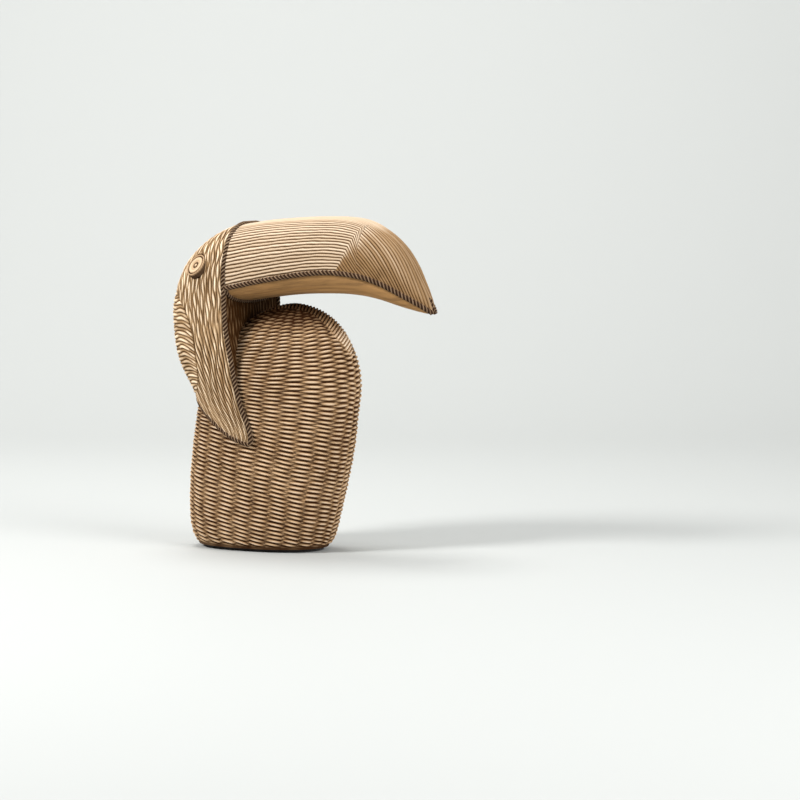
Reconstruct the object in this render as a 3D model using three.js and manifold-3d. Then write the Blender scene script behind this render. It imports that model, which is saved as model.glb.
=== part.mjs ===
import * as THREE from 'three';
import { mergeGeometries, mergeVertices } from 'three/addons/utils/BufferGeometryUtils.js';
import Module from 'manifold-3d';

// A toucan cast in resin as if woven from cane, standing on a thin foot pad.
// Millimetres: +X is where the beak points, +Y the bird's left, +Z up, origin under the pad.

// Foot pad
const PAD_THICKNESS = 2;
const PAD_INSET = 4;
const PAD_CLEARANCE = 0.3;
const PAD_SIDES = 40;

// Body: a leaning dome with an oval plan, woven in courses between upright stakes
const BODY_HEIGHT = 188.7;
const BODY_LENGTH = 133;
const BODY_WIDTH = 82;
const BODY_LEAN = 28;
const BODY_PLAN_POWER = 2.3;
const DOME_HEIGHT = 72;
const DOME_POWER = 1.9;
const STAKES = 22;
const COURSE_PITCH = 3;
const WEAVE_DEPTH = 1.5;

// Head: a hood over the body's back, with a flap down each side
const CROWN_HEIGHT = 254;
const FLAP_STANDOFF = 2.5;
const HEAD_WIDTH = BODY_WIDTH + 2 * FLAP_STANDOFF;
const HEAD_DEPTH = 62.5;
const HEAD_PLAN_POWER = 2.3;
const CROWN_ARCH = 54;
const CROWN_POWER = 2.7;
const FLAP_TIP_HEIGHT = 84;
const FLAP_REACH = 24;
const NAPE_EDGE_HEIGHT = 119;
const HEAD_STRANDS = 26;
const THROAT_STRANDS = 5;
const HEAD_ROWS = 10;
const STRAND_DEPTH = 0.9;

// Beak: ridged above its edge, smooth below it
const BEAK_LENGTH = 160;
const BEAK_SETBACK = 1;
const BEAK_WIDTH = HEAD_WIDTH - 2 * BEAK_SETBACK;
const BEAK_ROOT = -12;
const BEAK_ABOVE_CROWN = 5.4;
const BEAK_RISE = CROWN_HEIGHT + BEAK_ABOVE_CROWN;
const BEAK_DROP = 72.4;
const BEAK_TIP_HEIGHT = BEAK_RISE - BEAK_DROP;
const BEAK_SINK = 8;
const BEAK_RIDGES = 13;
const BEAK_RIDGE_DEPTH = 0.8;
const ROWS_TO_MITRE = 5;
const ROWS_PAST_MITRE = 5;
const BELLY_COLUMNS = 6;

// Rope braids and the eyes
const ROPE_RADIUS = 2;
const ROPE_SEAT = 1.4;
const ROPE_SIDES = 6;
const ROPE_STEP = 6;
const TIP_ROPE_LENGTH = 13;
const EYE_RADIUS = 9;
const EYE_BELOW_CROWN = 33;
const EYE_HEIGHT = CROWN_HEIGHT - EYE_BELOW_CROWN;
const EYE_PLACE = 0.16;
const EYE_SIDES = 14;

const FLOOR = PAD_THICKNESS + PAD_CLEARANCE;
const wasm = await Module();
wasm.setup();

// A smooth line through a few points: the second value at any first value
function through(points) {
  const last = points.length - 1;
  const slopes = points.map((point, i) => {
    const before = points[Math.max(i - 1, 0)];
    const after = points[Math.min(i + 1, last)];
    return (after[1] - before[1]) / (after[0] - before[0]);
  });
  return (at) => {
    let i = 0;
    while (i < last - 1 && at > points[i + 1][0]) i += 1;
    const span = points[i + 1][0] - points[i][0];
    const s = THREE.MathUtils.clamp((at - points[i][0]) / span, 0, 1);
    const rest = 1 - s;
    const ends = points[i][1] * (1 + 2 * s) * rest * rest + points[i + 1][1] * (3 - 2 * s) * s * s;
    return ends + span * s * rest * (slopes[i] * rest - slopes[i + 1] * s);
  };
}

// The rounded fall from 1 to 0 as share goes from 0 to 1
function arch(share, power) {
  return Math.pow(1 - Math.pow(THREE.MathUtils.clamp(share, 0, 1), power), 1 / power);
}

// A cosine or sine bent into a superellipse
function squared(value, power) {
  return Math.sign(value) * Math.pow(Math.abs(value), 2 / power);
}

// A grid of columns and rows, each corner put where place(column, row) says
function grid(columns, rows, place) {
  const geometry = new THREE.PlaneGeometry(1, 1, columns, rows);
  const position = geometry.attributes.position;
  for (let i = 0; i < position.count; i += 1) {
    const column = i % (columns + 1);
    const row = rows - Math.floor(i / (columns + 1));
    position.setXYZ(i, ...place(column, row));
  }
  return geometry;
}

// Grids joined at their shared corners into one closed body
function closed(grids) {
  const joined = mergeGeometries(grids);
  joined.deleteAttribute('normal');
  joined.deleteAttribute('uv');
  const welded = mergeVertices(joined, 1e-3);
  const corners = welded.index.array;
  const kept = [];
  for (let i = 0; i < corners.length; i += 3) {
    const [a, b, c] = corners.subarray(i, i + 3);
    if (a !== b && b !== c && c !== a) kept.push(a, b, c);
  }
  welded.setIndex(kept);
  return welded;
}

function toSolid(geometry) {
  const vertProperties = new Float32Array(geometry.attributes.position.array);
  const triVerts = new Uint32Array(geometry.index.array);
  return new wasm.Manifold(new wasm.Mesh({ numProp: 3, vertProperties, triVerts }));
}

function toGeometry(solid) {
  const mesh = solid.getMesh();
  const geometry = new THREE.BufferGeometry();
  geometry.setAttribute('position', new THREE.BufferAttribute(mesh.vertProperties, 3));
  geometry.setIndex(new THREE.BufferAttribute(mesh.triVerts, 1));
  return geometry;
}

// Body plan at a share of its height: half length, half width and how far its middle leans
const bodySwell = through([[0, 0.81], [0.05, 0.885], [0.13, 0.935], [0.3, 0.985], [0.45, 1], [1, 0.97]]);
const bodyShift = through([[0, -0.03], [0.13, 0.02], [0.42, 0.3], [0.6, 0.48], [0.8, 0.72], [1, 1]]);

function bodyPoint(turn, share, relief) {
  const domeShare = 1 - ((1 - share) * BODY_HEIGHT) / DOME_HEIGHT;
  const round = bodySwell(share) * arch(Math.max(domeShare, 0), DOME_POWER);
  const cosine = squared(Math.cos(turn), BODY_PLAN_POWER);
  const sine = squared(Math.sin(turn), BODY_PLAN_POWER);
  const slope = Math.max(domeShare, 0) ** 3;
  return [
    BODY_LEAN * bodyShift(share) + (round * BODY_LENGTH / 2 + relief * (1 - slope)) * cosine,
    (round * BODY_WIDTH / 2 + relief * (1 - slope)) * sine,
    FLOOR + BODY_HEIGHT * share + relief * slope,
  ];
}

// The weave: bulges and dips change places from stake to stake and from course to course
function makeBody() {
  const courses = Math.round(BODY_HEIGHT / COURSE_PITCH);
  const place = (column, row) => {
    if (row === 0) return [0, 0, FLOOR];
    if (row === courses + 1) return bodyPoint(0, 1, 0);
    const stake = column % STAKES;
    const share = (row - 1) / courses;
    const edge = row === 1 || row === courses;
    const bulge = (stake + row) % 2 === 0 ? 0.5 : -0.5;
    return bodyPoint((stake / STAKES) * 2 * Math.PI, share, edge ? 0 : bulge * WEAVE_DEPTH);
  };
  return closed([grid(STAKES, courses + 1, place)]);
}

// Head plan at a share of its height: how far its front reaches and its back falls away
const frontShare = through([
  [0, 1], [0.047, 0.98], [0.094, 0.875], [0.153, 0.69],
  [0.241, 0.49], [0.329, 0.35], [0.535, 0.07], [0.706, 0],
]);
const backShare = through([
  [0, 0.5], [0.2, 0.66], [0.371, 0.92], [0.553, 1], [0.653, 0.975], [0.812, 0.78], [0.929, 0.43], [1, 0.03],
]);
const headShare = (height) => (height - FLAP_TIP_HEIGHT) / (CROWN_HEIGHT - FLAP_TIP_HEIGHT);
const frontLine = (height) => BEAK_ROOT + FLAP_REACH * frontShare(headShare(height));

function headHalfWidth(height) {
  const archShare = (height - CROWN_HEIGHT + CROWN_ARCH) / CROWN_ARCH;
  return (HEAD_WIDTH / 2) * arch(Math.max(archShare, 0), CROWN_POWER);
}

// A point of the hood: around 0 is its left front edge, 0.5 the nape and 1 its right front edge
function headPoint(around, height, relief) {
  const cosine = squared(Math.cos(around * Math.PI), HEAD_PLAN_POWER);
  const sine = squared(Math.sin(around * Math.PI), HEAD_PLAN_POWER);
  const front = frontLine(height);
  const depth = front - BEAK_ROOT + HEAD_DEPTH * backShare(headShare(height));
  return [front - (depth + relief) * sine, (headHalfWidth(height) + relief) * cosine, height];
}

// The hood's rim climbs from each flap's tip to the nape
const rimShare = through([[0, 0], [0.1, 0.2], [0.2, 0.514], [0.3, 0.786], [0.4, 0.957], [0.5, 1]]);

function headRim(around) {
  return FLAP_TIP_HEIGHT + (NAPE_EDGE_HEIGHT - FLAP_TIP_HEIGHT) * rimShare(0.5 - Math.abs(around - 0.5));
}

function headColumnHeight(around, share) {
  const low = headRim(around);
  return low + (CROWN_HEIGHT - 0.4 - low) * Math.sin((share * Math.PI) / 2);
}

// The hood's strands run from the crown to its rim, the throat's down between the flaps
function makeHead() {
  const hoodColumns = HEAD_STRANDS * 2;
  const throatColumns = THROAT_STRANDS * 2;
  const columns = hoodColumns + throatColumns;
  const place = (column, row) => {
    if (row === 0) return [BEAK_ROOT - HEAD_DEPTH * 0.3, 0, NAPE_EDGE_HEIGHT];
    if (row > HEAD_ROWS + 1) return [BEAK_ROOT - 1, 0, CROWN_HEIGHT];
    const share = (row - 1) / HEAD_ROWS;
    const spot = column % columns;
    const strand = spot % 2 === 0 ? 0 : STRAND_DEPTH;
    if (spot <= hoodColumns) {
      const around = spot / hoodColumns;
      return headPoint(around, headColumnHeight(around, share), strand);
    }
    const across = (spot - hoodColumns) / throatColumns;
    const height = headColumnHeight(0, share);
    const half = headHalfWidth(height);
    return [frontLine(height) + strand, -half + 2 * half * across, height];
  };
  return closed([grid(columns, HEAD_ROWS + 2, place)]);
}

// Beak outlines along its length, from the root at 0 to the tip at 1
const along = (share) => BEAK_ROOT + BEAK_LENGTH * share;
const ridgeShare = through([
  [0, 0.91], [0.18, 0.967], [0.45, 1], [0.62, 0.975], [0.73, 0.865],
  [0.82, 0.715], [0.88, 0.55], [0.93, 0.35], [0.98, 0.13], [1, 0],
]);
const edgeShare = through([
  [0, 0.235], [0.26, 0.35], [0.51, 0.425], [0.68, 0.38], [0.79, 0.28], [0.89, 0.15], [0.96, 0.06], [1, 0],
]);
const bellyShare = through([
  [0, 0.085], [0.28, 0.165], [0.5, 0.185], [0.63, 0.17],
  [0.73, 0.13], [0.85, 0.055], [0.97, -0.005], [1, 0],
]);
const beakHeight = (line, share) => BEAK_TIP_HEIGHT + BEAK_DROP * line(share);
const beakHalfWidth = (share) => (BEAK_WIDTH / 2) * Math.pow(1 - Math.pow(share, 2.2), 0.62);

// A point of the ridged side: across 0 is the crest, 1 the edge
function beakSidePoint(share, across, side, relief) {
  const top = beakHeight(ridgeShare, share);
  const edge = beakHeight(edgeShare, share);
  const turn = (across * Math.PI) / 2;
  const sine = squared(Math.sin(turn), CROWN_POWER);
  const cosine = squared(Math.cos(turn), CROWN_POWER);
  return [
    along(share),
    side * (beakHalfWidth(share) * sine + relief * Math.sin(turn)),
    edge + (top - edge) * cosine + relief * Math.cos(turn),
  ];
}

// Each ridge runs along the beak to the mitre, then turns down to the edge
const mitreShare = (across) => 0.72 - 0.11 * Math.pow(across, 2.5);
const edgeMeeting = (across) => 1 - 0.39 * Math.pow(across, 4);

function beakSideSpot(across, row) {
  const mitre = mitreShare(across);
  if (row <= ROWS_TO_MITRE) return [mitre * (row / ROWS_TO_MITRE), across];
  const past = (row - ROWS_TO_MITRE) / ROWS_PAST_MITRE;
  const bend = past < 1 ? Math.pow(past, Math.pow(across, -0.7)) : 1;
  return [mitre + (edgeMeeting(across) - mitre) * past, across + (1 - across) * bend];
}

function makeBeak() {
  const columns = BEAK_RIDGES * 2;
  const rows = ROWS_TO_MITRE + ROWS_PAST_MITRE;
  const sideCorner = (column, row, side) => {
    const [share, across] = beakSideSpot(column / columns, row);
    const inside = column > 0 && column < columns && row < rows;
    return beakSidePoint(share, across, side, inside && column % 2 === 1 ? BEAK_RIDGE_DEPTH : 0);
  };
  const edgeCorner = (step, side) => (step <= rows
    ? sideCorner(columns, step, side)
    : sideCorner(columns - (step - rows), rows, side));
  const steps = rows + columns;
  const belly = grid(BELLY_COLUMNS, steps, (column, step) => {
    const across = (column / BELLY_COLUMNS) * 2 - 1;
    const [x, y, edge] = edgeCorner(step, 1);
    const depth = edge - beakHeight(bellyShare, (x - BEAK_ROOT) / BEAK_LENGTH);
    return [x, y * across, edge - depth * arch(Math.abs(across), 2)];
  });
  const left = grid(columns, rows, (column, row) => sideCorner(columns - column, row, 1));
  const right = grid(columns, rows, (column, row) => sideCorner(column, row, -1));
  const rootCentre = [BEAK_ROOT - BEAK_SINK, 0, beakHeight(edgeShare, 0)];
  const toCentre = (corner) => (column, row) => (row === 0 ? rootCentre : corner(column));
  const leftRoot = grid(columns, 1, toCentre((column) => sideCorner(columns - column, 0, 1)));
  const rightRoot = grid(columns, 1, toCentre((column) => sideCorner(column, 0, -1)));
  const bellyRoot = grid(BELLY_COLUMNS, 1, toCentre((column) => {
    const across = (column / BELLY_COLUMNS) * 2 - 1;
    const [x, y, edge] = edgeCorner(0, 1);
    return [x, y * across, edge - (edge - beakHeight(bellyShare, 0)) * arch(Math.abs(across), 2)];
  }));
  return closed([belly, left, right, leftRoot, rightRoot, bellyRoot]);
}

// A two-strand rope along a line of points, its section an oval that turns as it goes
function makeRope(points, radius, turnPerStep) {
  const path = new THREE.CatmullRomCurve3(points);
  const steps = Math.round(path.getLength() / ROPE_STEP);
  const spots = path.getSpacedPoints(steps);
  const frames = path.computeFrenetFrames(steps, false);
  return closed([grid(ROPE_SIDES, steps + 2, (column, row) => {
    const step = THREE.MathUtils.clamp(row - 1, 0, steps);
    const angle = ((column % ROPE_SIDES) / ROPE_SIDES) * 2 * Math.PI;
    const ends = row === 0 || row === steps + 2 ? 0 : 1;
    const size = ends * radius * (1 + 0.2 * Math.cos(2 * (angle - turnPerStep * step)));
    return spots[step].clone()
      .addScaledVector(frames.normals[step], size * Math.cos(angle))
      .addScaledVector(frames.binormals[step], size * Math.sin(angle));
  })]);
}

const ROPE_TURN = Math.PI / 3;
const mirrored = (points) => points.map(([x, y, z]) => [x, -y, z]).reverse();
const toVectors = (points) => points.map((point) => new THREE.Vector3(...point));
const spread = (count, place) => Array.from({ length: count + 1 }, (unused, i) => place(i / count));

// Along the beak's edge on both sides, and up the crest from the tip
function makeBeakRopes() {
  const sidePlace = (side) => (share) => beakSidePoint(share * 0.995, 1, side, ROPE_RADIUS * 0.3);
  const sideLine = (side) => toVectors(spread(24, sidePlace(side)));
  const crestEnd = TIP_ROPE_LENGTH / BEAK_LENGTH;
  const crestLine = toVectors(spread(6, (share) => beakSidePoint(1 - crestEnd * share * 0.6, 0, 1, 0)));
  return [
    makeRope(sideLine(1), ROPE_RADIUS, ROPE_TURN),
    makeRope(sideLine(-1), ROPE_RADIUS, ROPE_TURN),
    makeRope(crestLine, ROPE_RADIUS * 0.8, ROPE_TURN),
  ];
}

// Round the beak's root and down both flaps, then round the hood's rim behind
function makeHeadRopes() {
  const up = spread(20, (share) => headPoint(0, headColumnHeight(0, share), -ROPE_SEAT));
  const front = toVectors([...up, ...mirrored(up).slice(1)]);
  const rim = toVectors(spread(40, (share) => headPoint(share, headRim(share), -ROPE_SEAT)));
  return [makeRope(front, ROPE_RADIUS, ROPE_TURN), makeRope(rim, ROPE_RADIUS, ROPE_TURN)];
}

// A round button: an outer ring, a flat, a small inner ring and a bead
function makeEye(side) {
  const profile = [
    [0, -3], [EYE_RADIUS, -3], [EYE_RADIUS, 0.6], [EYE_RADIUS - 0.9, 1.5], [EYE_RADIUS - 2, 0.7],
    [EYE_RADIUS * 0.45, 1.3], [EYE_RADIUS * 0.33, 1.8], [EYE_RADIUS * 0.2, 0.6], [0, 1.2],
  ].map(([radius, height]) => new THREE.Vector2(radius, height));
  const around = side > 0 ? EYE_PLACE : 1 - EYE_PLACE;
  const centre = new THREE.Vector3(...headPoint(around, EYE_HEIGHT, 0));
  const ahead = new THREE.Vector3(...headPoint(around + 0.02, EYE_HEIGHT, 0)).sub(centre);
  const above = new THREE.Vector3(...headPoint(around, EYE_HEIGHT + 4, 0)).sub(centre);
  const outward = ahead.cross(above).normalize();
  const geometry = new THREE.LatheGeometry(profile, EYE_SIDES);
  geometry.applyQuaternion(new THREE.Quaternion().setFromUnitVectors(new THREE.Vector3(0, 1, 0), outward));
  geometry.translate(centre.x, centre.y, centre.z);
  return closed([geometry]);
}

// The foot pad's outline is the casting's underside, set in all round
function makePad() {
  const outline = new THREE.Shape(spread(PAD_SIDES, (share) => {
    const [x, y] = bodyPoint(share * 2 * Math.PI, 0, -PAD_INSET);
    return new THREE.Vector2(x, y);
  }).slice(0, PAD_SIDES));
  return new THREE.ExtrudeGeometry(outline, { depth: PAD_THICKNESS, bevelEnabled: false });
}

const pieces = [
  makeBody(), makeHead(), makeBeak(), ...makeBeakRopes(), ...makeHeadRopes(), makeEye(1), makeEye(-1),
];
const joined = pieces.map(toSolid).reduce((whole, piece) => whole.add(piece));

// The cast is solid through, so small pockets closed in between the forms are filled
const shells = joined.decompose();
const casting = shells.reduce((largest, shell) => (shell.volume() > largest.volume() ? shell : largest));

const castingMesh = new THREE.Mesh(
  toGeometry(casting),
  new THREE.MeshStandardMaterial({ color: '#b99567', roughness: 0.75, metalness: 0 }),
);
castingMesh.name = 'toucan_casting';

const padMesh = new THREE.Mesh(
  makePad(),
  new THREE.MeshStandardMaterial({ color: '#1b1a19', roughness: 0.95, metalness: 0 }),
);
padMesh.name = 'foot_pad';

const group = new THREE.Group();
group.add(castingMesh, padMesh);
export default group;
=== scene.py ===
import math

import bmesh
import bpy
import numpy as np
from mathutils import Matrix, Vector


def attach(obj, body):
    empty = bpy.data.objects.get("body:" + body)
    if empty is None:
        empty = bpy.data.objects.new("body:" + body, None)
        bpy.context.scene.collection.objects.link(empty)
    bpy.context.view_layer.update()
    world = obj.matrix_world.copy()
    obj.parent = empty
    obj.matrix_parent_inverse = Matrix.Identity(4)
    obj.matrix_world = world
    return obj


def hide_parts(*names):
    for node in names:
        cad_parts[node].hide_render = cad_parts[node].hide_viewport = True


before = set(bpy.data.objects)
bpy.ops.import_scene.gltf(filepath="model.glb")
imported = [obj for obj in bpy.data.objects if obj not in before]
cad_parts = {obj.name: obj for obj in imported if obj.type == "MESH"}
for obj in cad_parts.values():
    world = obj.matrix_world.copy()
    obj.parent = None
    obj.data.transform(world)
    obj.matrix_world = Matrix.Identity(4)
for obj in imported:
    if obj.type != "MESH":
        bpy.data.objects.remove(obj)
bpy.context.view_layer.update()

# Sizes are in millimetres, and each mesh is put in metres as it is made
MM = 0.001
WELD = 0.02 * MM

# Points on the lines that are measured to space a grid evenly
FINE = 801
FINE_TURNS = 721
FINE_SHARES = 2001
SECTION_STEPS = 400

# Body
FLOOR = 2.3
BODY_HEIGHT = 188.7
BODY_LENGTH = 133
BODY_WIDTH = 82
BODY_LEAN = 28
BODY_PLAN_POWER = 2.3
DOME_HEIGHT = 72
DOME_POWER = 1.9
STAKES = 22
COURSE_PITCH = 1.65
FINER_ABOVE = 95
FINER_REACH = 65
FINER_SHARE = 0.1
WEAVE_DEPTH = 2.3
WEAVE_SEAT = 0.6
CREST_HALF_WIDTH = 10
CREST_PITCH = 3.2
CREST_DEPTH = 2.6
CREST_SLANT = 0.5
CREST_START = 28
CREST_FULL = 52
BODY_ROWS = 600
COLUMNS_PER_STAKE = 7
FRONT_STAKE_REACH = 0.12
GIRTH_SHARE = 0.4
FOOT_LEVEL = 0.36
FOOT_RIM = 1.2
FOOT_FADE = 4
# Painted shade on the dome's top, under the head and beak: from the first height up to the second its
# strands are darkened in colour
PAINTED_SHADE_START = 165
PAINTED_SHADE_FULL = 189
PAINTED_SHADE_SHARE = 0.55

# Head
CROWN_HEIGHT = 254
HOOD_TOP = CROWN_HEIGHT - 0.4
HEAD_WIDTH = 87
HEAD_DEPTH = 62.5
HEAD_PLAN_POWER = 2.3
CROWN_ARCH = 54
CROWN_POWER = 2.7
FLAP_TIP_HEIGHT = 84
FLAP_REACH = 24
NAPE_EDGE_HEIGHT = 119
HOOD_GIRTH = 88
HOOD_PITCH = 2.2
HOOD_STAKE = 12
FLAP_PITCH = 3.0
CROSSED_ABOVE = 200
COMBED_BELOW = 165
NAPE_PITCH = 2.9
NAPE_STAKE = 14
NAPE_BEND = 0.022
NAPE_BEND_START = 38
NAPE_DIP = 0.13
NAPE_DIP_ROUND = 5
STRAND_DEPTH = 1.5
STRAND_SEAT = 0.5
CROWN_SPREAD = 0.8
RIM_SPREAD = 1.3
HOOD_ROWS = 360
HOOD_COLUMNS = 264
NAPE_GIRTH_HEIGHT = 178.0
THROAT_ROWS = 210
THROAT_COLUMNS = 120
THROAT_THICKNESS = 6
THROAT_TOP = CROWN_HEIGHT - 4
THROAT_FOOT = NAPE_EDGE_HEIGHT - 25

# Beak
BEAK_LENGTH = 160
BEAK_WIDTH = 85
BEAK_ROOT = -12
BEAK_RISE = 259.4
BEAK_DROP = 72.4
BEAK_RIDGES = 27
BEAK_SIDE_POWER = 2.2
BEAK_TIP_POWER = 0.62
MITRE_CREST = 0.68
MITRE_EDGE = 0.575
MITRE_POWER = 1.18
BEAK_RIDGE_DEPTH = 1.15
ROWS_TO_MITRE = 80
COLUMNS_PER_RIDGE = 10
BELLY_ROWS = 160
BELLY_COLUMNS = 40

# Braids and eyes
ROPE_RADIUS = 2
TIP_ROPE_RADIUS = 1.7
ROOT_ROPE_RADIUS = 1.8
RIM_ROPE_RADIUS = 1.8
ROPE_CORE = 0.62
ROPE_LOBE = 0.42
ROPE_SEAT = 0.6
ROPE_STRANDS = 3
ROPE_LAY = 3.1
ROPE_RING_STEP = 0.42
ROPE_SIDES = 22
CROWN_SINK = 0.4
EDGE_ROPE_PROUD = 0.4
EDGE_ROPE_END = 0.9992
TIP_ROPE_START = 0.973
ROOT_ROPE_SHARE = 0.012
EYE_RADIUS = 9.8
EYE_STAND = 0.9
EYE_HEIGHT = 221
EYE_PLACE = 0.16
EYE_TILT = (-0.05, 0, 0.32)
EYE_TURNS = 104
EYE_RINGS = 44
EYE_CORD_TURNS = 13


def through(points):
    """A smooth line through a few points: the second value at any first value."""
    at = np.array([point[0] for point in points], float)
    value = np.array([point[1] for point in points], float)
    before = np.maximum(np.arange(len(at)) - 1, 0)
    after = np.minimum(np.arange(len(at)) + 1, len(at) - 1)
    slope = (value[after] - value[before]) / (at[after] - at[before])

    def line(where):
        where = np.clip(where, at[0], at[-1])
        i = np.clip(np.searchsorted(at, where, side="right") - 1, 0, len(at) - 2)
        span = at[i + 1] - at[i]
        s = (where - at[i]) / span
        rest = 1 - s
        ends = value[i] * (1 + 2 * s) * rest ** 2 + value[i + 1] * (3 - 2 * s) * s ** 2
        return ends + span * s * rest * (slope[i] * rest - slope[i + 1] * s)

    return line


def arch(share, power):
    """The rounded fall from 1 to 0 as share goes from 0 to 1."""
    return (1 - np.clip(share, 0, 1) ** power) ** (1 / power)


def squared(value, power):
    """A cosine or sine bent into a superellipse."""
    return np.sign(value) * np.abs(value) ** (2 / power)


def smooth_step(low, high, value):
    share = np.clip((value - low) / (high - low), 0, 1)
    return share * share * (3 - 2 * share)


def scatter(first, second):
    """A steady random share for each pair of whole numbers."""
    return np.modf(np.abs(np.sin(first * 12.9898 + second * 78.233) * 43758.5453))[0]


def travelled(points):
    """How far along a line of points each one is."""
    return np.concatenate([[0], np.cumsum(np.linalg.norm(np.diff(points, axis=0), axis=1))])


def even_shares(points, count):
    """Where along a line of points to stop, so that the stops are evenly spaced."""
    reached = travelled(points)
    return np.interp(np.linspace(0, reached[-1], count + 1), reached, np.linspace(0, 1, len(points)))


# Relief

def strand(position, fullness):
    """A round strand across each whole step of position: height from 0 to 1, and its number."""
    number = np.floor(position)
    across = 2 * (position - number) - 1
    return np.clip(1 - across ** 2, 0, 1) ** fullness, number


def wicker(stake, course, lift=0.75, rod=0.72):
    """Rods that pass in front of one stake and behind the next, neighbours the other way about.

    Gives the height from 0 to 1 and each visible bulge's own shade. rod is half a rod's
    thickness in courses, and lift is how much lower the rods lie behind the stakes.
    """
    height = np.zeros_like(stake)
    tone = np.zeros_like(stake)
    nearest = np.floor(course)
    for step in (-1, 0, 1, 2):
        number = nearest + step
        front = np.cos(math.pi * (stake - 0.5 + number))
        front = 0.5 + 0.5 * np.sign(front) * np.abs(front) ** 0.75
        half = rod * (0.78 + 0.22 * front)
        profile = np.sqrt(np.clip(1 - ((course - number) / half) ** 2, 0, 1))
        rise = profile * (1 - lift * (1 - front))
        tone = np.where(rise > height, scatter(number, np.floor(stake)), tone)
        height = np.maximum(height, rise)
    return height, tone


# Surfaces

def surface_normals(points, side):
    """Unit normals of a grid, facing left where side is 1 and right where it is -1."""
    normals = np.cross(np.gradient(points, axis=1), np.gradient(points, axis=0))
    normals = normals / np.maximum(np.linalg.norm(normals, axis=2, keepdims=True), 1e-9)
    rows, columns = points.shape[:2]
    return normals * np.sign(normals[rows // 2, columns // 2, 1] * side)


def skin(name, points, crest, tone, lapped=False):
    """A closed mesh over a grid of points in millimetres.

    crest is 0 in the grooves and 1 on the strands, and tone is each strand's own shade.
    A lapped grid goes on from its last column back to its first.
    """
    if lapped:
        grids = (points, crest, tone)
        points, crest, tone = [np.concatenate([grid, grid[:, :1]], axis=1) for grid in grids]
    rows, columns = points.shape[0] - 1, points.shape[1] - 1
    shape = bmesh.new()
    bmesh.ops.create_grid(shape, x_segments=columns, y_segments=rows, size=0.5)
    mesh = bpy.data.meshes.new(name)
    shape.to_mesh(mesh)
    flat = np.empty(len(mesh.vertices) * 3)
    mesh.vertices.foreach_get("co", flat)
    column = np.rint((flat[0::3] + 0.5) * columns).astype(int)
    row = np.rint((flat[1::3] + 0.5) * rows).astype(int)
    mesh.vertices.foreach_set("co", (points[row, column] * MM).ravel())
    for label, values in (("crest", crest), ("tone", tone)):
        layer = mesh.attributes.new(label, "FLOAT", "POINT")
        layer.data.foreach_set("value", values[row, column].astype(np.float32))
    shape.clear()
    shape.from_mesh(mesh)
    bmesh.ops.remove_doubles(shape, verts=shape.verts, dist=WELD)
    rim = [edge for edge in shape.edges if edge.is_boundary]
    for edge in rim:
        edge.smooth = False
    bmesh.ops.holes_fill(shape, edges=rim, sides=0)
    bmesh.ops.recalc_face_normals(shape, faces=shape.faces)
    shape.to_mesh(mesh)
    shape.free()
    mesh.polygons.foreach_set("use_smooth", [True] * len(mesh.polygons))
    piece = bpy.data.objects.new(name, mesh)
    bpy.context.scene.collection.objects.link(piece)
    return piece


def finish_piece(piece, material):
    piece.data.materials.append(material)
    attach(piece, "root")
    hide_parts("toucan_casting")


def stack(x, y, z):
    return np.stack(np.broadcast_arrays(x, y, z), axis=-1)


# Body: a leaning dome with an oval plan

body_swell = through([[0, 0.81], [0.05, 0.885], [0.13, 0.935], [0.3, 0.985], [0.45, 1], [1, 0.97]])
body_shift = through([[0, -0.03], [0.13, 0.02], [0.42, 0.3], [0.6, 0.48], [0.8, 0.72], [1, 1]])


def body_round(share):
    return body_swell(share) * arch(1 - (1 - share) * BODY_HEIGHT / DOME_HEIGHT, DOME_POWER)


def body_points(turn, share):
    size = body_round(share)
    return stack(
        BODY_LEAN * body_shift(share) + size * BODY_LENGTH / 2 * squared(np.cos(turn), BODY_PLAN_POWER),
        size * BODY_WIDTH / 2 * squared(np.sin(turn), BODY_PLAN_POWER),
        FLOOR + BODY_HEIGHT * share,
    )


course_tilt = through([[20, 0.15], [95, 0.11], [130, 0.0], [160, -0.13], [191, -0.16]])


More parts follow.
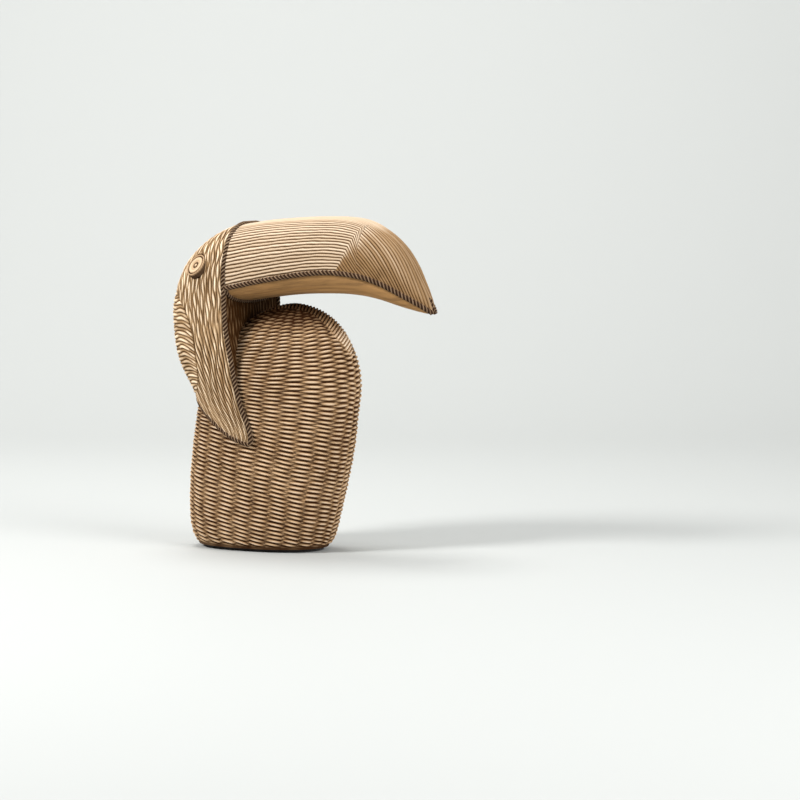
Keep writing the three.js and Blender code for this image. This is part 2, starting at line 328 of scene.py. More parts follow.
def body_part(side, name):
    """Half of the body: side is 1 for the left half and -1 for the right."""
    rows, columns = BODY_ROWS, STAKES * COLUMNS_PER_STAKE
    fine_turns = np.linspace(0, math.pi, FINE_TURNS)
    girth = body_points(fine_turns, np.full_like(fine_turns, GIRTH_SHARE))
    turns = math.pi * even_shares(girth, columns)
    fine_shares = np.linspace(0, 1, FINE_SHARES)
    outline = body_points(np.full_like(fine_shares, math.pi / 2), fine_shares)[:, 1:]
    shares = even_shares(outline, rows)
    climbed = travelled(outline)
    turn, share = np.meshgrid(turns, shares)
    points = body_points(turn, share)
    points[..., 1] *= side
    points[:, [0, -1], 1] = 0
    x, y, z = points[..., 0], points[..., 1], points[..., 2]

    # Side courses, tilted from back to front, with one more stake where the front turns
    way = np.meshgrid(np.linspace(0, 1, columns + 1), shares)[0]
    stake = (STAKES / 2 * way + 1 - np.exp(-way / FRONT_STAKE_REACH)) * side
    lean_line = x - BODY_LEAN * body_shift(share)
    wobble = 0.16 * np.sin(stake * 2.1 + z / 17) + 0.12 * np.sin(z / 6.3 + stake * 1.3)
    slant = 0.55 * (stake - np.floor(stake) - 0.5) * smooth_step(150, 60, z) * -side
    climb = np.interp(share, fine_shares, climbed)
    climb = climb + FINER_SHARE * np.clip(z - FINER_ABOVE, 0, FINER_REACH)
    course = (climb + course_tilt(z) * lean_line) / COURSE_PITCH
    loose = 0.06 * np.sin(z / 9 + stake) + 0.22 * (scatter(np.floor(course), 5) - 0.5)
    woven, tone = wicker(stake + loose, course + wobble + slant)
    woven = woven * (0.78 + 0.22 * tone)

    # Crest: short strands laid aslant over the dome's front
    spring = FLOOR + BODY_HEIGHT - DOME_HEIGHT
    swing = np.arctan2((z - spring) / DOME_HEIGHT, lean_line / (BODY_LENGTH / 2))
    ridge_line = np.where(z > spring, swing * (DOME_HEIGHT + BODY_LENGTH / 2) / 2, z - spring)
    crossing, number = strand((ridge_line - CREST_SLANT * y) / CREST_PITCH, 0.5)
    band = CREST_HALF_WIDTH * smooth_step(CREST_START, CREST_FULL, z - spring) * (x > 0)
    inside = smooth_step(1.2, -1.2, np.abs(y) - band)
    raised = woven * (1 - inside) + crossing * inside
    depth = WEAVE_DEPTH + (CREST_DEPTH - WEAVE_DEPTH) * inside
    tone = np.where(inside > 0.5, scatter(number, 3), tone)

    # The weave ends just above a plain foot rim
    clear = smooth_step(FOOT_RIM, FOOT_FADE, z - FLOOR)
    raised = raised * clear + FOOT_LEVEL * (1 - clear)
    relief = (raised - WEAVE_SEAT) * depth
    normals = surface_normals(points, side)
    normals[:, [0, -1], 1] = 0
    normals[-1] = [0, 0, 1]
    placed = points + relief[..., None] * normals
    # Painted shade: the dome's top, under the head and beak, is darkened by lowering its crest
    shaded = raised * (1 - PAINTED_SHADE_SHARE * smooth_step(PAINTED_SHADE_START, PAINTED_SHADE_FULL, z))
    finish_piece(skin(name, placed, shaded, tone, lapped=True), woven_cane)


# Head: a hood over the body's back, with a flap down each side and a throat between them

front_share = through([
    [0, 1], [0.047, 0.98], [0.094, 0.875], [0.153, 0.69],
    [0.241, 0.49], [0.329, 0.35], [0.535, 0.07], [0.706, 0],
])
back_share = through([
    [0, 0.5], [0.2, 0.66], [0.371, 0.92], [0.553, 1],
    [0.653, 0.975], [0.812, 0.78], [0.929, 0.43], [1, 0.03],
])
rim_share = through([[0, 0], [0.1, 0.2], [0.2, 0.514], [0.3, 0.786], [0.4, 0.957], [0.5, 1]])

# Where the side's strands meet the nape's, as a share of the way round to the nape
mitre_line = through([
    [84, 1.1], [112, 1.05], [122, 0.62], [134, 0.44], [150, 0.38],
    [165, 0.37], [180, 0.41], [192, 0.52], [204, 0.76], [222, 1.02],
])
strand_spread = through([[84, 0.4], [100, 0.55], [120, 0.72], [150, 0.9], [195, 1], [254, 1.0]])


def head_share(height):
    return (height - FLAP_TIP_HEIGHT) / (CROWN_HEIGHT - FLAP_TIP_HEIGHT)


def head_front(height):
    return BEAK_ROOT + FLAP_REACH * front_share(head_share(height))


def head_half_width(height):
    return HEAD_WIDTH / 2 * arch((height - CROWN_HEIGHT + CROWN_ARCH) / CROWN_ARCH, CROWN_POWER)


def head_points(around, height, side):
    """around is 0 at the flap's front edge and 0.5 at the nape, side is 1 left and -1 right."""
    front = head_front(height)
    depth = front - BEAK_ROOT + HEAD_DEPTH * back_share(head_share(height))
    cosine = squared(np.cos(around * math.pi), HEAD_PLAN_POWER)
    sine = squared(np.sin(around * math.pi), HEAD_PLAN_POWER)
    return stack(front - depth * sine, side * head_half_width(height) * cosine, height)


def head_rim(around):
    return FLAP_TIP_HEIGHT + (NAPE_EDGE_HEIGHT - FLAP_TIP_HEIGHT) * rim_share(around)


def hood_part(side, name):
    """Half of the hood, from the nape round to the flap's front edge, closed on its inside."""
    rows, columns = HOOD_ROWS, HOOD_COLUMNS
    fine = np.linspace(0, 1, FINE)
    girth = head_points(fine / 2, np.full(FINE, NAPE_GIRTH_HEIGHT), 1)
    arounds = even_shares(girth, columns) / 2
    nape_heights = NAPE_EDGE_HEIGHT + (HOOD_TOP - NAPE_EDGE_HEIGHT) * fine
    nape_line = head_points(np.full(FINE, 0.5), nape_heights, 1)
    around, rise = np.meshgrid(arounds[::-1], even_shares(nape_line, rows))
    low = head_rim(around)
    height = low + (HOOD_TOP - low) * rise
    points = head_points(around, height, side)
    way = np.meshgrid(np.linspace(1, 0, columns + 1), rise[:, 0])[0]

    # The side's strands hang down and sweep forward to the flap's tip
    behind = head_front(height) - points[..., 0]
    along = height + CROWN_SPREAD * (HEAD_WIDTH / 2 - np.abs(points[..., 1]))
    sway = 0.24 * np.sin(along / 6 + behind / 9) + 0.13 * np.sin(along / 3.1 + behind / 3)
    course = behind / strand_spread(height) / HOOD_PITCH + sway
    stake = along / HOOD_STAKE + 0.45 * np.sin(behind / 4.3) + 0.3 * np.sin(behind / 1.9 + 1)
    panel, panel_tone = wicker(stake, course, 0.4, 0.58)
    lock_sway = 0.25 * np.sin(height / 9 + behind / 5) + 0.12 * np.sin(height / 4 + behind / 2)
    comb, number = strand(behind / strand_spread(height) / FLAP_PITCH + lock_sway, 0.6)
    split = np.abs(2 * (course - np.floor(course)) - 1)
    comb = comb * (1 - 0.3 * split ** 3)
    comb = comb * (0.85 + 0.15 * np.sin(height / 3.3 + 2.4 * number))
    loose = smooth_step(CROSSED_ABOVE, COMBED_BELOW, height + 12 * np.sin(way * 6))
    comb_tone = scatter(number, np.floor(height / 19 + number * 0.37))
    panel_tone = np.where(loose > 0.5, comb_tone, panel_tone)
    panel = panel * (1 - loose) + comb * loose

    # The nape's ridges lie across it and curve down to meet the side's at a mitre
    below = np.minimum(height - NAPE_EDGE_HEIGHT, 0)
    climb = np.interp(height, nape_heights, travelled(nape_line)) + below * RIM_SPREAD
    from_nape = HOOD_GIRTH * (1 - way)
    curve = NAPE_BEND * np.maximum(from_nape - NAPE_BEND_START, 0) ** 2
    curve = curve - NAPE_DIP * np.sqrt(from_nape ** 2 + NAPE_DIP_ROUND ** 2)
    ridge_sway = 0.14 * np.sin(from_nape / 6 + height / 9)
    ridge_sway = ridge_sway + 0.06 * np.sin(from_nape / 2.3 + height / 5)
    ridge_sway = ridge_sway * smooth_step(0, 8, from_nape)
    ridge = (climb + curve) / NAPE_PITCH + ridge_sway
    ridges, ridge_tone = wicker(from_nape / NAPE_STAKE + 0.5, ridge, 0.35, 0.52)
    mitre = way - mitre_line(height)
    nape = smooth_step(-0.008, 0.008, mitre)
    raised = panel * (1 - nape) + ridges * nape
    raised = raised * (0.6 + 0.4 * smooth_step(0, 0.012, np.abs(mitre)))
    from_eye = np.linalg.norm(points - head_points(EYE_PLACE, EYE_HEIGHT, side), axis=2)
    raised = raised * smooth_step(EYE_RADIUS - 1, EYE_RADIUS + 1, from_eye)
    tone = np.where(nape > 0.5, ridge_tone, panel_tone)
    shaded = raised + 0.2 * nape * (1 - raised)

    normals = surface_normals(points, side)
    normals[:, 0, 1] = 0
    edge = smooth_step(0, 0.02, way)
    placed = points + ((raised - STRAND_SEAT) * STRAND_DEPTH * edge)[..., None] * normals
    finish_piece(skin(name, placed, shaded, tone, lapped=True), head_cane)


def make_throat():
    """The upright face between the flaps, with painted shade that makes it darker than the rest."""
    low = THROAT_FOOT
    across, up = np.linspace(-1, 1, THROAT_COLUMNS + 1), np.linspace(0, 1, THROAT_ROWS + 1)
    share, rise = np.meshgrid(across, up)
    height = low + (THROAT_TOP - low) * rise
    y = share * (head_half_width(height) - 0.3)
    course = y / HOOD_PITCH + 0.4 * np.sin(height / 8 + y / 5)
    raised, tone = wicker(height / HOOD_STAKE + 0.2 * np.sin(y / 3), course, 0.5, 0.6)
    face = stack(head_front(height) + (raised - 0.6) * STRAND_DEPTH, y, height)
    back = face[:, [-1, 0]] - [THROAT_THICKNESS, 0, 0]
    closed = np.concatenate([face, back], axis=1)
    spare = np.zeros((THROAT_ROWS + 1, 2))
    # Painted shade: halving the throat's crest lets the wash darken it as if in shadow
    raised = np.concatenate([raised * 0.5, spare], axis=1)
    tone = np.concatenate([tone, spare], axis=1)
    finish_piece(skin("throat", closed, raised, tone, lapped=True), head_cane)


# Beak: ridged above its edge, smooth below it

ridge_share = through([
    [0, 0.91], [0.18, 0.967], [0.45, 1], [0.62, 0.975], [0.73, 0.865],
    [0.82, 0.715], [0.88, 0.55], [0.93, 0.35], [0.98, 0.13], [1, 0],
])
edge_share = through([
    [0, 0.235], [0.26, 0.35], [0.51, 0.425], [0.68, 0.395],
    [0.79, 0.312], [0.89, 0.185], [0.96, 0.08], [1, 0],
])
belly_share = through([
    [0, 0.085], [0.28, 0.165], [0.5, 0.185], [0.63, 0.17],
    [0.73, 0.13], [0.85, 0.055], [0.97, -0.005], [1, 0],
])


def beak_height(line, share):
    return BEAK_RISE - BEAK_DROP + BEAK_DROP * line(share)


def beak_half_width(share):
    return BEAK_WIDTH / 2 * (1 - np.clip(share, 0, 1) ** BEAK_SIDE_POWER) ** BEAK_TIP_POWER


def beak_points(share, across, side):
    """across is 0 on the crest and 1 at the edge."""
    top = beak_height(ridge_share, share)
    edge = beak_height(edge_share, share)
    turn = across * math.pi / 2
    return stack(
        BEAK_ROOT + BEAK_LENGTH * share,
        side * beak_half_width(share) * squared(np.sin(turn), CROWN_POWER),
        edge + (top - edge) * squared(np.cos(turn), CROWN_POWER),
    )


def beak_spots(columns, rows):
    """Along and across for each grid corner: ridges run to the mitre, then turn down to the edge."""
    section = beak_points(np.full(FINE, 0.3), np.linspace(0, 1, FINE), 1)[:, 1:]
    acrosses = even_shares(section, SECTION_STEPS)
    number, step = np.meshgrid(np.linspace(0, 1, columns + 1), np.arange(2 * rows + 1))
    mitre = MITRE_CREST - (MITRE_CREST - MITRE_EDGE) * number ** 2
    meeting = 1 - (1 - MITRE_EDGE) * number ** MITRE_POWER
    past = np.clip(step / rows - 1, 0, 1)
    share = mitre * np.clip(step / rows, 0, 1) + (meeting - mitre) * past

    # Past the mitre, the ridges that haven't met the edge spread evenly over what is left
    unturned = (np.clip(MITRE_CREST - share, 0, 1) / (MITRE_CREST - MITRE_EDGE)) ** 0.5
    unmet = np.clip((1 - share) / (1 - MITRE_EDGE), 0, 1) ** (1 / MITRE_POWER)
    spread = unturned + (1 - unturned) * (number - unturned) / np.maximum(unmet - unturned, 1e-4)
    place = np.where(past > 0, np.clip(spread, 0, 1), number)
    return share, np.interp(place, np.linspace(0, 1, SECTION_STEPS + 1), acrosses), past


def make_beak():
    columns, rows = BEAK_RIDGES * COLUMNS_PER_RIDGE, ROWS_TO_MITRE
    share, across, past = beak_spots(columns, rows)
    number = np.meshgrid(np.linspace(0, BEAK_RIDGES, columns + 1), np.arange(2 * rows + 1))[0]
    sway = 0.05 * np.sin(share * 40 + number * 0.9) + 0.03 * np.sin(share * 95 + number * 2.3)
    turned = smooth_step(0, 0.15, past)
    raised, index = strand(number + sway, 0.7 - 0.07 * turned)
    raised = 1 - (1 - raised) * (1 - 0.32 * turned * scatter(np.rint(number + sway), 7))
    tone = 0.6 * scatter(index, 31) + 0.95 * smooth_step(0, 0.3, past)
    crest_fade = smooth_step(0, 0.34 - 0.33 * smooth_step(0.6, 0.8, share), across)
    edge_fade = smooth_step(1, 0.985, across)
    relief = (raised - 0.5) * BEAK_RIDGE_DEPTH * (0.35 + 0.65 * crest_fade) * edge_fade
    raised = 1 - (1 - raised) * (0.2 + 0.8 * crest_fade)
    raised = raised * (1 - 0.24 * turned * smooth_step(0.55, 0.95, across))
    halves = []
    for side in (1, -1):
        points = beak_points(share, across, side)
        normals = surface_normals(points, side)
        normals[:, 0] = [0, 0, 1]
        halves.append(points + relief[..., None] * normals)
    both = np.concatenate([halves[0][:, ::-1], halves[1][:, 1:]], axis=1)
    crest = np.concatenate([raised[:, ::-1], raised[:, 1:]], axis=1)
    tones = np.concatenate([tone[:, ::-1], tone[:, 1:]], axis=1)
    finish_piece(skin("beak_ridged", both, crest, tones, lapped=True), beak_cane)

    # The smooth belly hangs from the same edge
    shares = np.linspace(0, 1, BELLY_ROWS + 1) ** 0.9
    spread, along = np.meshgrid(np.linspace(-1, 1, BELLY_COLUMNS + 1), shares)
    edge = beak_points(along, np.ones_like(along), 1)
    depth = edge[..., 2] - beak_height(belly_share, along)
    belly = stack(edge[..., 0], edge[..., 1] * spread, edge[..., 2] - depth * arch(np.abs(spread), 2))
    tone = scatter(np.floor(spread * 9), 2)
    finish_piece(skin("beak_belly", belly, np.ones_like(along), tone, lapped=True), belly_resin)


# Braids: strands laid round each other

def make_rope(name, line, radius, material, crown_lift=0.0):
    """A twisted rope along a line of points. The last argument is how much paler it is painted on the
    crown, where the face braid comes out of the painted shade its colours carry beside the beak.
    """
    length = travelled(line)[-1]
    rings = int(length / ROPE_RING_STEP)
    order = np.arange(len(line))
    stops = np.interp(even_shares(line, rings), np.linspace(0, 1, len(line)), order)
    path = np.stack([np.interp(stops, order, line[:, axis]) for axis in range(3)], axis=1)
    ahead = np.gradient(path, axis=0)
    ahead /= np.linalg.norm(ahead, axis=1, keepdims=True)
    sides = [np.cross(ahead[0], [0.3, 0.5, 0.8])]
    sides[0] /= np.linalg.norm(sides[0])
    for direction in ahead[1:]:
        turned = sides[-1] - direction * np.dot(sides[-1], direction)
        sides.append(turned / np.linalg.norm(turned))
    first = np.array(sides)
    second = np.cross(ahead, first)
    around = np.linspace(0, 2 * math.pi, ROPE_SIDES + 1)
    angle, along = np.meshgrid(around, np.linspace(0, length, rings + 1))
    phase = ROPE_STRANDS * angle / 2 - along / ROPE_LAY * math.pi
    lobe = np.abs(np.cos(phase))
    size = radius * (ROPE_CORE + ROPE_LOBE * lobe ** 0.7)
    ends = np.minimum(along, length - along)
    size = size * np.sqrt(np.clip(ends / radius, 0, 1))
    spoke = np.cos(angle)[..., None] * first[:, None] + np.sin(angle)[..., None] * second[:, None]
    points = path[:, None] + size[..., None] * spoke
    points[:, -1] = points[:, 0]
    number = np.mod(np.floor(phase / math.pi + 0.5), ROPE_STRANDS)
    # Paler on the crown: there the face braid's painted shade from beside the beak is lifted
    crest = lobe ** 1.4 * (1 + crown_lift * smooth_step(222, 246, points[..., 2]))
    finish_piece(skin(name, points, crest, scatter(number, 41)), material)


def seated(points, centre_share=0.5):
    """A line of head points moved in by the rope's seat, of which centre_share goes along X."""
    pushed = points.copy()
    reach = np.hypot(points[:, 0] - BEAK_ROOT, points[:, 1])
    pushed[:, 0] -= (points[:, 0] - BEAK_ROOT) / np.maximum(reach, 1) * ROPE_SEAT * centre_share
    pushed[:, 1] -= points[:, 1] / np.maximum(reach, 1) * ROPE_SEAT
    return pushed


def make_braids():
    share = EDGE_ROPE_END * np.sin(np.linspace(0, math.pi / 2, 400))
    for side, name in ((1, "left"), (-1, "right")):
        line = beak_points(share, np.ones_like(share), side)
        line[:, 1] += side * EDGE_ROPE_PROUD
        make_rope("beak_braid_" + name, line, ROPE_RADIUS, dark_braid)
    up = np.linspace(1, TIP_ROPE_START, 40)
    crest_line = beak_points(up, np.zeros_like(up), 1)
    make_rope("beak_tip_braid", crest_line, TIP_ROPE_RADIUS, dark_braid)

    # Round the belly where it meets the throat
    spread = np.sin(np.linspace(-math.pi / 2, math.pi / 2, 161))
    root = beak_points(np.full_like(spread, ROOT_ROPE_SHARE), np.ones_like(spread), 1)
    depth = root[:, 2] - beak_height(belly_share, ROOT_ROPE_SHARE)
    under = stack(root[:, 0], root[:, 1] * spread, root[:, 2] - depth * arch(np.abs(spread), 2))
    make_rope("beak_root_braid", under, ROOT_ROPE_RADIUS, dark_braid)

    # Up one flap, over the crown and down the other
    rise = np.sin(np.linspace(0, math.pi / 2, 200))
    height = FLAP_TIP_HEIGHT + (HOOD_TOP - FLAP_TIP_HEIGHT) * rise
    left = head_points(np.zeros_like(height), height, 1)
    right = head_points(np.zeros_like(height), height, -1)
    front = np.concatenate([seated(left), seated(right)[::-1][1:]])
    front[:, 2] -= CROWN_SINK * smooth_step(244, 253, front[:, 2])
    # This braid's colours carry painted shade from the beak's root, and it is painted paler on the
    # crown
    make_rope("face_braid", front, ROPE_RADIUS, face_braid, crown_lift=0.3)

    # Along the hood's lower rim
    around = np.linspace(0, 0.5, 120)
    left_rim = head_points(around, head_rim(around), 1)
    right_rim = head_points(around, head_rim(around), -1)
    rim = np.concatenate([seated(left_rim, 1), seated(right_rim, 1)[::-1][1:]])
    make_rope("rim_braid", rim, RIM_ROPE_RADIUS, dark_braid)


# Eyes: a round button with a corded edge and a bead in a small ring

def make_eye(side, name):
    around = np.array([EYE_PLACE - 0.01, EYE_PLACE, EYE_PLACE + 0.01])
    place = head_points(around, np.full(3, float(EYE_HEIGHT)), side)
    above = head_points(around[1:2], np.array([EYE_HEIGHT + 3.0]), side)[0]
    outward = np.cross(place[2] - place[0], above - place[1])
    outward *= np.sign(outward[1] * side) / np.linalg.norm(outward)
    outward = outward + np.array(EYE_TILT)

    profile = through([
        [0, 0.7], [0.1, 0.6], [0.17, -0.3], [0.23, -0.5], [0.29, 0.2], [0.35, 0.65], [0.41, 0.4],
        [0.48, 0.65], [0.68, 0.75], [0.75, -0.2], [0.79, -0.2], [0.84, 0.6],
        [0.9, 0.8], [0.96, 0.2], [1, -3],
    ])
    turn = np.linspace(0, 2 * math.pi, EYE_TURNS + 1)
    angle, share = np.meshgrid(turn, np.linspace(0, 1, EYE_RINGS + 1))
    cord = smooth_step(0.76, 0.8, share) * smooth_step(0.99, 0.95, share)
    twist = np.abs(np.cos(angle * EYE_CORD_TURNS + share * 12)) ** 0.6
    height = profile(share) - 0.4 * cord * (1 - twist)
    crest = np.clip(0.4 + profile(share) / 1.2, 0.3, 1) * (1 - cord * (0.65 - 0.45 * twist))
    height = height + EYE_STAND * smooth_step(1, 0.98, share)
    base = stack(EYE_RADIUS * share * np.cos(angle), EYE_RADIUS * share * np.sin(angle), height)
    facing = Vector((0, 0, 1)).rotation_difference(Vector(outward)).to_matrix()
    points = base @ np.array(facing.transposed()) + place[1]
    points[:, -1] = points[:, 0]
    finish_piece(skin(name, points, crest, np.full_like(height, 0.6)), eye_resin)


# Finishes

def new_group(name, inputs, outputs):
    group = bpy.data.node_groups.new(name, "ShaderNodeTree")
    for label, kind in inputs:
        group.interface.new_socket(label, in_out="INPUT", socket_type=kind)
    for label, kind in outputs:
        group.interface.new_socket(label, in_out="OUTPUT", socket_type=kind)
    return group


def node(tree, kind, links=(), **settings):
    """Adds a node, sets its settings, and joins (its input, from socket) pairs."""
    made = tree.nodes.new(kind)
    for name, value in settings.items():
        setattr(made, name, value)
    for socket, source in links:
        if hasattr(source, "links"):
            tree.links.new(source, made.inputs[socket])
        else:
            made.inputs[socket].default_value = source
    return made


def maths(tree, operation, *values):
    return node(tree, "ShaderNodeMath", operation=operation, links=enumerate(values)).outputs[0]


def mix_colours(tree, share, first, second):
    links = [(0, share), (6, first), (7, second)]
    return node(tree, "ShaderNodeMix", data_type="RGBA", links=links).outputs[2]


def noise(tree, place, scale, detail, roughness=0.55):
    links = [("Vector", place), ("Scale", scale), ("Detail", detail), ("Roughness", roughness)]
    return node(tree, "ShaderNodeTexNoise", links=links).outputs["Fac"]


def build_wash_group():
    """Straw paint rubbed off the strands, with a dark wash lying in the grooves."""
    group = new_group("groove wash", [
        ("Crest", "NodeSocketFloat"), ("Tone", "NodeSocketFloat"), ("Wash level", "NodeSocketFloat"),
        ("Tip", "NodeSocketColor"), ("Straw", "NodeSocketColor"), ("Amber", "NodeSocketColor"),
        ("Wash", "NodeSocketColor"),
    ], [
        ("Color", "NodeSocketColor"), ("Roughness", "NodeSocketFloat"), ("Height", "NodeSocketFloat"),
    ])
    inside = group.nodes.new("NodeGroupInput").outputs
    place = node(group, "ShaderNodeTexCoord").outputs["Object"]
    patches = noise(group, place, 26, 4)
    blotches = noise(group, place, 110, 3)
    grain = noise(group, place, 900, 2, 0.5)

    # How far each strand stands clear of the wash
    uneven = maths(group, "MULTIPLY_ADD", blotches, 0.3, inside["Wash level"])
    uneven = maths(group, "MULTIPLY_ADD", patches, 0.16, uneven)
    uneven = maths(group, "SUBTRACT", uneven, 0.23)
    clear = node(group, "ShaderNodeMapRange", interpolation_type="SMOOTHSTEP", links=[
        ("Value", inside["Crest"]), ("From Min", maths(group, "SUBTRACT", uneven, 0.24)),
        ("From Max", maths(group, "ADD", uneven, 0.34)),
    ]).outputs["Result"]

    # Strands differ a little from each other and along their length
    shade = maths(group, "MULTIPLY_ADD", inside["Tone"], 0.55, maths(group, "MULTIPLY", patches, 0.7))
    shade = maths(group, "MULTIPLY_ADD", grain, 0.3, maths(group, "SUBTRACT", shade, 0.28))
    amber_share = node(group, "ShaderNodeMapRange", links=[
        ("Value", shade), ("From Min", 0.15), ("From Max", 0.75), ("To Min", 0.0), ("To Max", 0.85),
    ]).outputs["Result"]
    paint = mix_colours(group, amber_share, inside["Straw"], inside["Amber"])
    top = node(group, "ShaderNodeMapRange", links=[
        ("Value", inside["Crest"]), ("From Min", 0.7), ("From Max", 1.0),
        ("To Min", 0.0), ("To Max", 0.7),
    ]).outputs["Result"]
    top = maths(group, "MULTIPLY", top, maths(group, "MULTIPLY_ADD", inside["Tone"], -0.8, 1.35))
    paint = mix_colours(group, top, paint, inside["Tip"])
    colour = mix_colours(group, clear, inside["Wash"], paint)

    rough = maths(group, "MULTIPLY_ADD", clear, -0.12, 0.86)
    rough = maths(group, "MULTIPLY_ADD", blotches, 0.1, maths(group, "SUBTRACT", rough, 0.05))
    height = maths(group, "MULTIPLY_ADD", grain, 0.6, maths(group, "MULTIPLY", blotches, 0.4))
    out = group.nodes.new("NodeGroupOutput").inputs
    group.links.new(colour, out["Color"])
    group.links.new(rough, out["Roughness"])
    group.links.new(height, out["Height"])
    return group


def resin(name, tip, straw, amber, wash, level, streaks=None):
    """A matte cast surface: the groove wash drives its colour, roughness and fine bump.

    The four colours go from a strand's top down to its groove, level is how high the wash
    stands, and streaks stretches dark lines along the piece.
    """
    material = bpy.data.materials.new(name)
    material.use_nodes = True
    tree = material.node_tree
    shader = tree.nodes["Principled BSDF"]
    shader.inputs["Specular IOR Level"].default_value = 0.06
    crest = node(tree, "ShaderNodeAttribute", attribute_name="crest").outputs["Fac"]
    tone = node(tree, "ShaderNodeAttribute", attribute_name="tone").outputs["Fac"]
    wash_node = node(tree, "ShaderNodeGroup", node_tree=wash_group, links=[
        ("Crest", crest), ("Tone", tone), ("Tip", tip), ("Straw", straw), ("Amber", amber),
        ("Wash", wash), ("Wash level", level),
    ])
    colour = wash_node.outputs["Color"]
    height = wash_node.outputs["Height"]
    if streaks:
        place = node(tree, "ShaderNodeTexCoord").outputs["Object"]
        drawn = node(tree, "ShaderNodeMapping", links=[("Vector", place), ("Scale", streaks)])
        lines = noise(tree, drawn.outputs["Vector"], 60, 5, 0.65)
        share = node(tree, "ShaderNodeMapRange", links=[
            ("Value", lines), ("From Min", 0.4), ("From Max", 0.68), ("To Min", 0.0), ("To Max", 0.75),
        ]).outputs["Result"]
        colour = mix_colours(tree, share, colour, (0.17, 0.095, 0.042, 1))
        height = maths(tree, "MULTIPLY_ADD", lines, -1.5, height)
    tree.links.new(colour, shader.inputs["Base Color"])
    tree.links.new(wash_node.outputs["Roughness"], shader.inputs["Roughness"])
    bumped = node(tree, "ShaderNodeBump", links=[("Height", height)])
    bumped.inputs["Strength"].default_value = 0.35
    bumped.inputs["Distance"].default_value = 0.0004
    tree.links.new(bumped.outputs["Normal"], shader.inputs["Normal"])
    return material


def felt():
    material = bpy.data.materials.new("black felt")
    material.use_nodes = True
    tree = material.node_tree
    shader = tree.nodes["Principled BSDF"]
    shader.inputs["Sheen Weight"].default_value = 0.3
    shader.inputs["Specular IOR Level"].default_value = 0.1
    place = node(tree, "ShaderNodeTexCoord").outputs["Object"]
    fibres = noise(tree, place, 1800, 4, 0.7)
    tuft = node(tree, "ShaderNodeMapRange", links=[
        ("Value", fibres), ("From Min", 0.3), ("From Max", 0.7),
    ]).outputs["Result"]
    colour = mix_colours(tree, tuft, (0.008, 0.008, 0.008, 1), (0.03, 0.028, 0.026, 1))
    tree.links.new(colour, shader.inputs["Base Color"])
    tree.links.new(maths(tree, "MULTIPLY_ADD", fibres, 0.1, 0.88), shader.inputs["Roughness"])
    bumped = node(tree, "ShaderNodeBump", links=[("Height", fibres)])
    bumped.inputs["Strength"].default_value = 0.5
    bumped.inputs["Distance"].default_value = 0.0005
    tree.links.new(bumped.outputs["Normal"], shader.inputs["Normal"])
    return material


# Stage, light and camera, in metres

def plain(name, colour, roughness):
    material = bpy.data.materials.new(name)
    material.use_nodes = True
    shader = material.node_tree.nodes["Principled BSDF"]
    shader.inputs["Base Color"].default_value = colour
    shader.inputs["Roughness"].default_value = roughness
    return material


STAGE_REACH = 3
STAGE_BEND = 0.9
STAGE_STEPS = 64
PICTURE_PIXELS = 800
FOCAL_PIXELS = 3470
LEVEL_ROW = 118
SENSOR_WIDTH = 36
CAMERA_SIDE = 0.106
CAMERA_BACK = 2.7
CAMERA_HEIGHT = 0.335
CAMERA_YAW = math.radians(27)
IMAGE_RIGHT = Vector((math.cos(CAMERA_YAW), math.sin(CAMERA_YAW), 0))
IMAGE_AWAY = Vector((-math.sin(CAMERA_YAW), math.cos(CAMERA_YAW), 0))


def make_stage():
    """A pale floor that curves up into a backdrop behind the bird."""
    shape = bmesh.new()
    bmesh.ops.create_grid(shape, x_segments=2, y_segments=STAGE_STEPS, size=STAGE_REACH)
    quarter = STAGE_BEND * math.pi / 2
    for vertex in shape.verts:
        back = vertex.co.y - STAGE_BEND
        if back > 0:
            turn = min(back, quarter) / STAGE_BEND
            vertex.co.y = STAGE_BEND + STAGE_BEND * math.sin(turn)
            vertex.co.z = STAGE_BEND * (1 - math.cos(turn)) + max(back - quarter, 0)
    yaw = Matrix.Rotation(CAMERA_YAW, 3, "Z")
    bmesh.ops.rotate(shape, verts=shape.verts, cent=(0, 0, 0), matrix=yaw)
    mesh = bpy.data.meshes.new("floor")
    shape.to_mesh(mesh)
    shape.free()
    mesh.polygons.foreach_set("use_smooth", [True] * len(mesh.polygons))
    floor = bpy.data.objects.new("floor", mesh)
    bpy.context.scene.collection.objects.link(floor)
    floor.data.materials.append(plain("pale floor", (0.5, 0.51, 0.495, 1), 0.7))


def make_light(name, place, size, power, target=(0.02, 0, 0.14)):
    light = bpy.data.lights.new(name, "AREA")
    light.shape = "DISK"
    light.size = size
    light.energy = power
    lamp = bpy.data.objects.new(name, light)
    bpy.context.scene.collection.objects.link(lamp)
    lamp.location = place
    lamp.rotation_euler = (Vector(target) - Vector(place)).to_track_quat("-Z", "Y").to_euler()


def make_camera():
    camera = bpy.data.cameras.new("camera")
    camera.sensor_width = SENSOR_WIDTH
    camera.lens = FOCAL_PIXELS * SENSOR_WIDTH / PICTURE_PIXELS
    camera.clip_end = 20
    holder = bpy.data.objects.new("camera", camera)
    bpy.context.scene.collection.objects.link(holder)
    side = IMAGE_RIGHT * CAMERA_SIDE
    holder.location = side - IMAGE_AWAY * CAMERA_BACK + Vector((0, 0, CAMERA_HEIGHT))
    down = math.atan((PICTURE_PIXELS / 2 - LEVEL_ROW) / FOCAL_PIXELS)
    looking = IMAGE_AWAY * math.cos(down) - Vector((0, 0, math.sin(down)))
    holder.rotation_euler = looking.to_track_quat("-Z", "Y").to_euler()
    bpy.context.scene.camera = holder


def make_world():
    world = bpy.data.worlds.new("studio")
    bpy.context.scene.world = world
    world.use_nodes = True
    background = world.node_tree.nodes["Background"]
    background.inputs["Color"].default_value = (0.93, 0.96, 0.97, 1)
    background.inputs["Strength"].default_value = 0.33


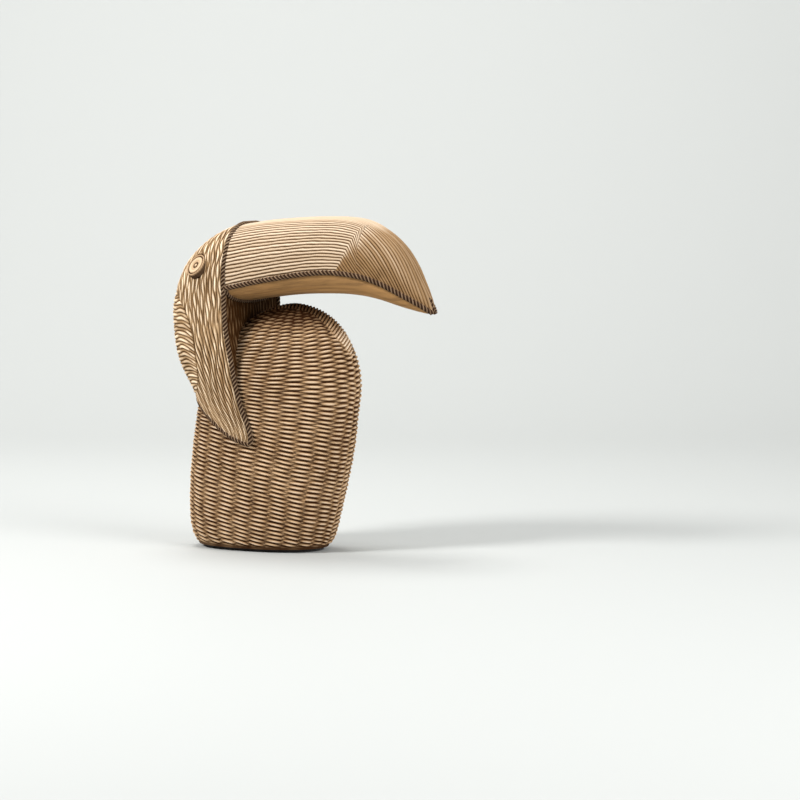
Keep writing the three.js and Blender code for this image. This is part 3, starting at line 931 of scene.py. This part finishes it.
bpy.context.scene.view_settings.view_transform = "Standard"
wash_group = build_wash_group()
woven_cane = resin(
    "woven cane resin", (0.98, 0.8, 0.61, 1), (0.52, 0.34, 0.19, 1), (0.3, 0.168, 0.075, 1),
    (0.032, 0.01, 0.002, 1), 0.485,
)
head_cane = resin(
    "combed cane resin", (0.95, 0.78, 0.58, 1), (0.53, 0.352, 0.19, 1), (0.3, 0.17, 0.073, 1),
    (0.034, 0.012, 0.002, 1), 0.53,
)
beak_cane = resin(
    "ridged beak resin", (0.7, 0.555, 0.41, 1), (0.41, 0.285, 0.175, 1), (0.24, 0.13, 0.047, 1),
    (0.055, 0.023, 0.007, 1), 0.51,
)
belly_resin = resin(
    "smooth belly resin", (0.44, 0.24, 0.095, 1), (0.38, 0.205, 0.08, 1), (0.27, 0.14, 0.048, 1),
    (0.1, 0.055, 0.03, 1), 0.1, streaks=(0.25, 5, 5),
)
dark_braid = resin(
    "dark braid resin", (0.3, 0.2, 0.125, 1), (0.13, 0.078, 0.044, 1), (0.08, 0.044, 0.023, 1),
    (0.03, 0.0145, 0.007, 1), 0.68,
)
# Painted shade: the face braid is coloured dark for the shade between the face and the beak's root
face_braid = resin(
    "face braid resin with painted shade", (0.27, 0.19, 0.12, 1), (0.125, 0.078, 0.045, 1), (0.08, 0.044, 0.023, 1),
    (0.024, 0.011, 0.005, 1), 0.62,
)
eye_resin = resin(
    "eye resin", (0.72, 0.54, 0.36, 1), (0.5, 0.34, 0.2, 1), (0.36, 0.22, 0.115, 1),
    (0.035, 0.016, 0.007, 1), 0.42,
)

body_part(1, "woven_body_left")
body_part(-1, "woven_body_right")
hood_part(1, "hood_left")
hood_part(-1, "hood_right")
make_throat()
make_beak()
make_braids()
make_eye(1, "eye_left")
make_eye(-1, "eye_right")

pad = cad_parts["foot_pad"]
pad.data.materials.clear()
pad.data.materials.append(felt())

make_stage()
left_front = -IMAGE_AWAY * 0.75 - IMAGE_RIGHT * 1.35 + Vector((0, 0, 1.35))
right_side = -IMAGE_AWAY * 1.3 + IMAGE_RIGHT * 1.4 + Vector((0, 0, 0.8))
overhead = IMAGE_AWAY * 0.35 - IMAGE_RIGHT * 0.2 + Vector((0, 0, 1.6))
make_light("key light", left_front, 0.6, 40.5)
make_light("fill light", right_side, 1.2, 34)
make_light("top light", overhead, 0.8, 17)
behind = IMAGE_AWAY * 0.3 + Vector((0, 0, 2.2))
make_light("backdrop light", behind, 1.5, 27, target=IMAGE_AWAY * 2.2 + Vector((0, 0, 2)))
make_camera()
make_world()
